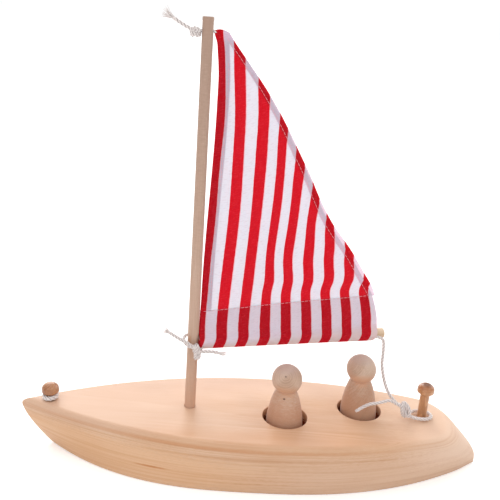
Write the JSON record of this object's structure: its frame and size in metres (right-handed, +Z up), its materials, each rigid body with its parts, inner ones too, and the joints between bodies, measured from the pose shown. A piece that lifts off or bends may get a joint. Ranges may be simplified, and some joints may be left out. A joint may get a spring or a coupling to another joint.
{
  "type": "toy sailing boat",
  "caption": "Wooden toy sailing boat with a dowel mast, a swinging striped cloth sail on a boom, cord lashings, pegs and lift-out peg passengers seated in round sockets.",
  "frame": {"origin": "centre of the hull's length and width, on its flat bottom face", "axes": "+X to the stern, +Y to the side away from the lashing's knot (starboard), +Z up the mast"},
  "size_m": [0.2842, 0.0804, 0.2587],
  "materials": {
    "hull_wood": "sanded pale softwood with fine lengthwise grain and a thin satin oil",
    "dowel_wood": "plain unfinished birch dowel, fine lengthwise grain",
    "boom_wood": "plain unfinished birch dowel, end grain showing at the tip",
    "bow_peg_wood": "turned hardwood peg, burnished head, warm brown",
    "stern_peg_wood": "turned hardwood peg, burnished head, warm brown",
    "passenger_fore_wood": "plain unpainted turned wood, matte, end-grain rings on the head",
    "passenger_aft_wood": "plain unpainted turned wood, matte, slanting grain on the head",
    "sail_cloth": "plain-weave cotton, red and white stripes, matte",
    "cotton_cord": "off-white twisted three-strand cotton cord, matte"
  },
  "bodies": {
    "hull": {"hull": "hull_wood", "mast": "dowel_wood", "bow_peg": "bow_peg_wood", "stern_peg": "stern_peg_wood", "bow_peg_ring": "cotton_cord", "head_knot": "cotton_cord", "head_strop": "cotton_cord", "head_tail": "cotton_cord", "sheet_line": "cotton_cord", "sheet_knot": "cotton_cord", "sheet_peg_loop": "cotton_cord", "sheet_tail": "cotton_cord"},
    "sail": {"sail": "sail_cloth", "boom": "boom_wood", "tack_knot": "cotton_cord", "tack_loop": "cotton_cord", "tack_tail_fore": "cotton_cord", "tack_tail_aft": "cotton_cord"},
    "passenger_fore": {"passenger_fore": "passenger_fore_wood"},
    "passenger_aft": {"passenger_aft": "passenger_aft_wood"}
  },
  "joints": [
    {"name": "sail_swing", "type": "hinge", "parent": "hull", "child": "sail", "pos_m": [-0.0401, 0, 0.0753], "axis": [0, 0, 1], "range_deg": [-32, 3]},
    {"name": "passenger_fore_lift", "type": "slide", "parent": "hull", "child": "passenger_fore", "axis": [0, 0, 1], "range_m": [0, 0.016]},
    {"name": "passenger_aft_lift", "type": "slide", "parent": "hull", "child": "passenger_aft", "axis": [0, 0, 1], "range_m": [0, 0.016]}
  ]
}
